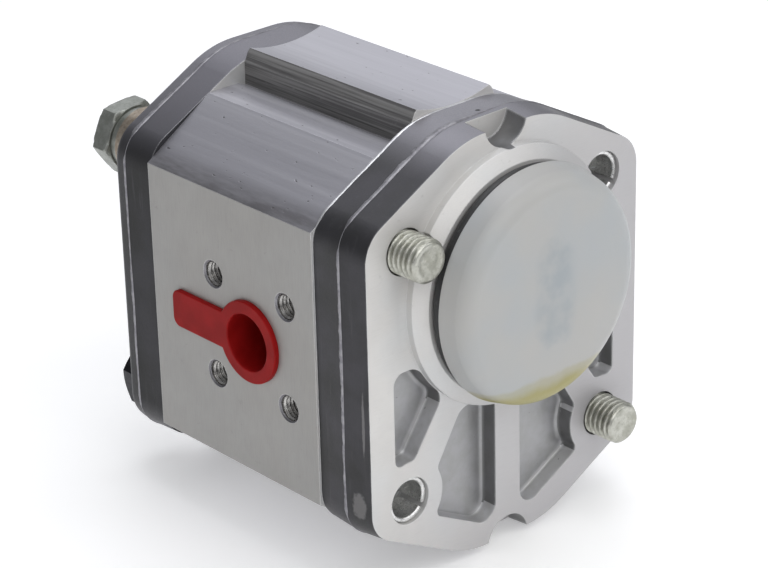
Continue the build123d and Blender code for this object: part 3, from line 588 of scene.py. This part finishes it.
def cover_material(normal, centre, front, rear):
    """Material of a cover polygon; front and rear are the stations of the cover's two faces."""
    mostly, facing_up = 0.7, 0.35
    x, z = abs(centre.x), abs(centre.z - MID_Z)
    along_y = abs(normal.y)
    if along_y > SQUARE and min(abs(centre.y - front), abs(centre.y - rear)) < NEAR:
        return MACHINED
    if in_notch(x, centre.y, z, abs(normal.z) < mostly):
        # Notch walls that don't face the front get the dark pocket wall colour, a painted shade.
        return MACHINED if normal.y < -mostly else POCKET_WALL_SHADED
    hole_r, boss_r = 6.6 * MM, 20 * MM
    from_bolt = Vector((x - bolt_reach(), z - bolt_reach())).length
    if from_bolt < hole_r and along_y < mostly:
        return MACHINED
    inside = inside_rim(x, z)
    from_axis = Vector((centre.x, centre.z)).length
    before_face = centre.y < -0.01 * MM
    if before_face or (inside and from_axis < boss_r):
        return MACHINED
    if not inside:
        return SKIN
    if along_y > mostly:
        return POCKET_FLOOR
    # Walls facing up get the pale copy as painted light, the other walls the dark copy as painted
    # shade.
    return POCKET_SILL_LIT if normal.z > facing_up else POCKET_WALL_SHADED


def rear_material(normal, centre, front, rear):
    """Material of a rear cover polygon: as the front cover's, apart from its joint face."""
    joint = abs(normal.y) > SQUARE and abs(centre.y - front) < NEAR
    return JOINT if joint else cover_material(normal, centre, front, rear)


def body_material(normal, centre):
    """Material of a body polygon; the gear bores are milled like the port faces."""
    gear_bore_r, side_skin, ridge_half_width, level = 23 * MM, 0.5 * MM, 15 * MM, 0.9
    if abs(normal.y) > SQUARE:
        return BODY_END
    from_axis = min(abs(centre.z), abs(centre.z - 2 * MID_Z))
    bore = Vector((centre.x, from_axis)).length < gear_bore_r
    port_face = abs(normal.x) > SQUARE and abs(centre.x) > body_high.x - side_skin
    if port_face or bore:
        return PORT_FACE
    beside_ridge = abs(centre.x) < ridge_half_width and abs(normal.z) < level
    return RIDGE_FLANK if beside_ridge else DRAWN


def dress(node, materials, choose=None):
    """Gives a CAD node its materials; choose gives a polygon's index from its normal and centre."""
    mesh = nodes[node].data
    mesh.materials.clear()
    for material in materials:
        mesh.materials.append(material)
    for polygon in mesh.polygons:
        polygon.material_index = choose(polygon.normal, polygon.center) if choose else 0


def dress_nodes():
    """Materials of the CAD nodes, apart from the bolts, replaced below, and the hidden bushes."""
    for node, material in whole.items():
        dress(node, [material])
    front_joint = body_low.y
    dress(
        "front_cover", [skin, face_metal, pocket_floor, pocket_wall_shaded, pocket_sill_lit],
        lambda normal, centre: cover_material(normal, centre, 0.0, front_joint),
    )
    rear_low, rear_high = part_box("rear_cover")
    dress(
        "rear_cover", [rear_skin, face_metal, pocket_floor, pocket_wall_shaded, pocket_sill_lit, joint_metal],
        lambda normal, centre: rear_material(normal, centre, rear_low.y, rear_high.y),
    )
    dress("pump_body", [body_metal, port_metal, flank_metal, face_metal], body_material)
    # The screws' ends before the body get the light grey of painted light, the rest black oxide.
    dress(
        "assembly_screws", [black_oxide, lit_screw_end],
        lambda normal, centre: 1 if centre.y < front_joint else 0,
    )


# ------------------------------------------------------------------ new pieces
# The mounting bolts' hexagon heads: their height, and how far they are turned about their axis.
HEAD_HEIGHT = 6.0 * MM
HEAD_TURN = radians(5.8)


def piece(name, points, faces, material):
    """New smooth-shaded mesh piece in the row frame, riding on the housing."""
    mesh = bpy.data.meshes.new(name)
    mesh.from_pydata([tuple(p) for p in points], [], faces)
    mesh.validate()
    mesh.materials.append(material)
    mesh.shade_smooth()
    obj = bpy.data.objects.new(name, mesh)
    bpy.context.scene.collection.objects.link(obj)
    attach(obj, "housing")
    return obj


def grid_faces(rows, columns, start=0, closed=True):
    """Quads between rows of columns points each, closed round if closed."""
    faces = []
    for r in range(rows - 1):
        for c in range(columns if closed else columns - 1):
            d = (c + 1) % columns
            a = start + r * columns
            b = a + columns
            faces.append((a + c, a + d, b + d, b + c))
    return faces


def thread_height(along, angle, pitch):
    """Height of a rolled thread, from 0 at its rounded root to 1 at its rounded crest."""
    root_share, flank_share, roundness, straightness = 0.12, 0.70, 0.35, 0.65
    phase = (along / pitch - angle / (2 * pi)) % 1.0
    ridge = 1 - abs(2 * phase - 1)
    flank = min(1.0, max(0.0, (ridge - root_share) / flank_share))
    return flank * flank * (3 - 2 * flank) * roundness + flank * straightness


def stud_places():
    """Centres (x, z) of the two mounting bolts."""
    reach = bolt_reach()
    x, _, z = mount("mounting_studs")["pos_m"]
    return [(x - reach, z + reach), (x + reach, z - reach)]


def bolt_rows(front, rear):
    """Stations of one bolt from end to head, each with its radius or a function of the angle."""
    crest, root, pitch, shank = 5.0 * MM, 4.12 * MM, 1.5 * MM, 4.8 * MM
    end_r, dish_r, dish, end_taper = 4.2 * MM, 2.9 * MM, 0.22 * MM, 0.9
    rows = [(front + dish, 0.0), (front + dish, dish_r * 0.7), (front + dish * 0.8, dish_r)]
    rows += [(front + 0.04 * MM, dish_r * 1.15), (front, end_r - 0.25 * MM)]
    rows.append((front + 0.06 * MM, end_r))
    rows_per_turn, thread_end = 14, 7.0 * MM
    step = pitch / rows_per_turn
    for k in range(1, int((thread_end - front) / step)):
        y = front + k * step

        def threaded(angle, y=y):
            """Radius of the thread, tapered at the bolt's end."""
            full = root + (crest - root) * thread_height(y, angle, pitch)
            return min(full, end_r + (y - front) * end_taper)

        rows.append((y, threaded))
    # The head has a washer face under it, and its hexagon is chamfered on both sides.
    seat = rear - HEAD_HEIGHT
    washer_y, washer_r, seat_r = 0.25 * MM, 7.4 * MM, 6.9 * MM
    rows += [(thread_end, shank), (seat, shank), (seat, seat_r), (seat + washer_y, washer_r)]
    half_flat, crown_r, under_r = 8.0 * MM, 7.7 * MM, 7.5 * MM
    crown_cone, under_cone = radians(60), radians(65)

    def hexagon(angle, limit):
        """Radius of the hexagon, cut at a limit."""
        inner = (angle - HEAD_TURN + pi / 6) % (pi / 3) - pi / 6
        return min(half_flat / cos(pi / 6 - abs(inner)), limit)

    steps = 14
    for k in range(steps + 1):
        y = seat + washer_y + (HEAD_HEIGHT - washer_y) * k / steps
        limit = min(crown_r + (rear - y) * tan(crown_cone), under_r + (y - seat) * tan(under_cone))
        rows.append((y, lambda angle, limit=limit: hexagon(angle, max(limit, washer_r))))
    # The middle of the head is a little hollow.
    rows += [(rear, crown_r * 0.9), (rear - 0.12 * MM, crown_r * 0.6), (rear - 0.15 * MM, 0.0)]
    return rows


def add_bolts():
    """Both mounting bolts with rolled M10 threads, a dished end and a chamfered head."""
    low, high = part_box("mounting_bolts")
    rows = bolt_rows(low.y, high.y)
    columns, sharp_above = 96, radians(38)
    points, faces = [], []
    for x, z in stud_places():
        start = len(points)
        for y, radius in rows:
            for c in range(columns):
                angle = HEAD_TURN + 2 * pi * c / columns
                r = radius(angle) if callable(radius) else radius
                points.append((x + r * cos(angle), y, z + r * sin(angle)))
        faces += grid_faces(len(rows), columns, start)
    bolts = piece("threaded_mounting_bolts", points, faces, zinc)
    bolts.data.set_sharp_from_angle(angle=sharp_above)
    bolts.data.materials.append(head_zinc)
    behind = high.y - HEAD_HEIGHT - 0.2 * MM
    for polygon in bolts.data.polygons:
        polygon.material_index = 1 if polygon.center.y > behind else 0
    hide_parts("mounting_bolts")


def add_port_threads():
    """Thread ridges inside the eight blind holes around the ports."""
    pitch, depth, columns, rows_per_turn = 1.0 * MM, 12.6 * MM, 40, 8
    mouth, fade, ridge, bury = 0.45 * MM, 1.2 * MM, 0.5 * MM, 0.02 * MM
    step = pitch / rows_per_turn
    count = int((depth - mouth) / step)
    for name in ("pressure", "suction"):
        port = mount(name + "_port_threads")
        side = port["axis"][0]
        reach = port["dims"]["pcd_mm"] * MM / 2 * cos(pi / 4)
        wall = port["dims"]["hole_r_mm"] * MM
        points, faces = [], []
        for dy, dz in product((-reach, reach), repeat=2):
            start = len(points)
            for k in range(count):
                inward = mouth + k * step
                for c in range(columns):
                    angle = 2 * pi * c / columns
                    height = thread_height(inward, angle, pitch) * min(1.0, inward / fade)
                    r = wall - bury - ridge * height
                    points.append((
                        port["pos_m"][0] - side * inward,
                        port["pos_m"][1] + dy + r * cos(angle),
                        port["pos_m"][2] + dz + r * sin(angle),
                    ))
            faces += grid_faces(count, columns, start)
        threads = piece(name + "_port_thread_ridges", points, faces, thread_metal)


def parting_outline(node, station):
    """Points (x, z) of a cover's outline at its parting line, in order round it."""
    inner_r, on_line = 40 * MM, 0.02 * MM
    found = {}
    for vertex in nodes[node].data.vertices:
        x, y, z = vertex.co
        if abs(y - station) < on_line and Vector((x, z - MID_Z)).length > inner_r:
            found[round(atan2(z - MID_Z, x), 4)] = Vector((x, z))
    return [found[k] for k in sorted(found)]


def evenly(points, step):
    """Points at even steps along a closed outline."""
    out, carry = [], 0.0
    for a, b in zip(points, points[1:] + points[:1]):
        length = (b - a).length
        while carry < length:
            out.append(a.lerp(b, carry / length))
            carry += step
        carry -= length
    return out


def ease(value, low, high):
    """0 below low, 1 above high, smooth between."""
    share = min(1.0, max(0.0, (value - low) / (high - low)))
    return share * share * (3 - 2 * share)


def ribbon(name, outline, profile, material):
    """Closed strip along an outline; profile gives (y, height above the outline) across it."""
    points = []
    count = len(outline)
    for i, p in enumerate(outline):
        ahead = outline[(i + 2) % count] - outline[i - 2]
        outward = Vector((ahead.y, -ahead.x)).normalized()
        for y, height in profile(p, outward):
            q = p + outward * height
            points.append((q.x, y, q.y))
    columns = len(points) // count
    faces = grid_faces(count, columns, closed=False)
    last = (count - 1) * columns
    faces += [(last + c, last + c + 1, c + 1, c) for c in range(columns - 1)]
    strip = piece(name, points, faces, material)


def add_flash(name, node, station, seed, width):
    """Trimmed flash along a cover's parting line: wide and ragged on the slopes, thin elsewhere.

    Widths and heights in its profile are in millimetres.
    """
    step, foot = 0.35 * MM, -0.14

    def profile(p, outward):
        """Points across the strip at a place of the outline."""
        steep = abs(outward.y)
        slope = ease(steep, 0.60, 0.84) - 0.75 * ease(steep, 0.93, 0.99)
        corner = 1 - 0.80 * (ease(steep, 0.10, 0.30) - ease(steep, 0.60, 0.82))
        where = Vector((p.x, p.y, seed)) / MM
        half = width * (0.36 + 0.23 * slope) * corner * (1 + 0.8 * noise.noise(where * 0.07))
        ragged = 1 + 0.7 * noise.noise(where * 0.35) + 0.45 * noise.noise(where * 1.3)
        middle = 0.15 * noise.noise(where * 0.08)
        front, rear = middle - half, middle + half * max(0.3, ragged)
        high = 0.03 + 0.12 * half
        edge = high + 0.03 * noise.noise(where * 2.0)
        rows = [(front - 0.04, foot), (front, high), ((front + rear) / 2, edge), (rear, high)]
        rows.append((rear + 0.05, foot))
        return [(station + y * MM, up * MM) for y, up in rows]

    ribbon(name, evenly(parting_outline(node, station), step), profile, flash_metal)


def add_joint_burr_and_highlight(name, node, parting, joint):
    """Bright scraped edge of a cover where it meets the body, wide on the slopes and crowns where
    light catches it: part burr, part painted highlight.

    Widths and heights in its profile are in millimetres.
    """
    step, draft, seed = 0.5 * MM, radians(3.0), 11.0
    inset = abs(joint - parting) * tan(draft)

    def profile(p, outward):
        """Points across the strip at a place of the outline."""
        slope = ease(abs(outward.y), 0.35, 0.75)
        where = Vector((p.x, p.y, seed)) / MM
        ragged = 1 + 0.35 * noise.noise(where * 0.2) + 0.25 * noise.noise(where * 1.1)
        wide = 0.10 + 0.56 * slope * ragged
        high = 0.02 + 0.06 * slope
        rows = [(-wide - 0.05, -0.06), (-wide, high * 0.6), (-wide * 0.3, high), (0.0, high * 0.8)]
        rows.append((0.02, -0.12))
        return [(joint + y * MM, up * MM - inset) for y, up in rows]

    ribbon(name, evenly(parting_outline(node, parting), step), profile, burr_and_highlight_metal)


add_camera()
add_floor()
add_surroundings()
add_lights()
dress_nodes()
add_bolts()
add_port_threads()
# The covers part on these lines, before and behind the body.
front_parting = body_low.y - 8.6 * MM
rear_parting = body_high.y + 8.9 * MM
add_flash("front_cover_flash", "front_cover", front_parting, 3.0, 1.0)
add_flash("rear_cover_flash", "rear_cover", rear_parting, 7.0, 0.85)
add_joint_burr_and_highlight("front_cover_edge_burr_and_highlight", "front_cover", front_parting, body_low.y)
